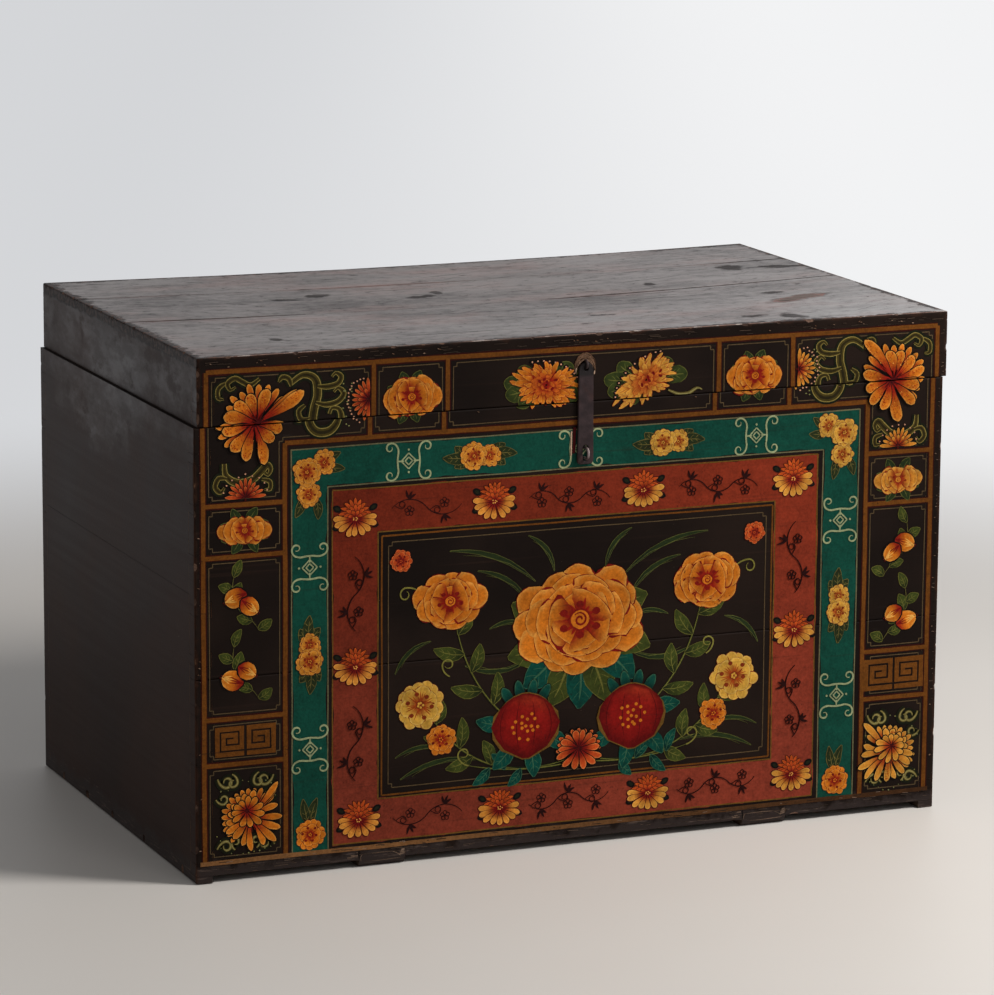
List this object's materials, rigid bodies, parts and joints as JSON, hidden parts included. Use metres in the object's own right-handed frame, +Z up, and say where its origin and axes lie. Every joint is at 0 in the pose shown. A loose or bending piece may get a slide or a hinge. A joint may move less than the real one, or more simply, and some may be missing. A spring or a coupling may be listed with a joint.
{
  "type": "storage trunk",
  "caption": "Painted wooden trunk of dovetailed planks, with a lid on forged hinges, floor skids and an iron hasp that hangs over a staple.",
  "frame": {"origin": "on the floor, under the middle of the trunk's overall box", "axes": "+X to the right along the painted front, +Y from the front to the hinged back, +Z up"},
  "size_m": [0.872, 0.556, 0.56],
  "materials": {
    "painted_lacquer": "black-brown lacquer with painted bands, satin, worn at the edges",
    "top_lacquer": "worn grey-brown lacquer, satin",
    "bare_wood": "aged bare softwood, matt",
    "forged_iron": "dark brown forged iron, dull"
  },
  "bodies": {
    "trunk": {"front_lower_plank": "painted_lacquer", "front_upper_plank": "painted_lacquer", "back_lower_plank": "painted_lacquer", "back_upper_plank": "painted_lacquer", "left_lower_plank": "painted_lacquer", "left_upper_plank": "painted_lacquer", "right_lower_plank": "painted_lacquer", "right_upper_plank": "painted_lacquer", "bottom_plank_front": "bare_wood", "bottom_plank_middle": "bare_wood", "bottom_plank_back": "bare_wood", "skid_left": "bare_wood", "skid_right": "bare_wood", "hinge_left_body_leaf": "forged_iron", "hinge_left_pin": "forged_iron", "hinge_right_body_leaf": "forged_iron", "hinge_right_pin": "forged_iron", "hasp_keeper_staple": "forged_iron"},
    "lid": {"top_plank_front": "top_lacquer", "top_plank_middle": "top_lacquer", "top_plank_back": "top_lacquer", "lid_front_skirt": "painted_lacquer", "lid_back_skirt": "painted_lacquer", "lid_left_skirt": "painted_lacquer", "lid_right_skirt": "painted_lacquer", "lid_batten_left": "bare_wood", "lid_batten_right": "bare_wood", "hinge_left_lid_leaf": "forged_iron", "hinge_right_lid_leaf": "forged_iron", "hasp_hanger_staple": "forged_iron"},
    "hasp": {"hasp_strap": "forged_iron"}
  },
  "joints": [
    {"name": "lid_hinge", "type": "hinge", "parent": "trunk", "child": "lid", "pos_m": [0.002, 0.27165, 0.487], "axis": [-1, 0, 0], "range_deg": [0, 100]},
    {"name": "hasp_swing", "type": "hinge", "parent": "lid", "child": "hasp", "pos_m": [0.003, -0.2675, 0.528], "axis": [-1, 0, 0], "range_deg": [0, 160]}
  ]
}
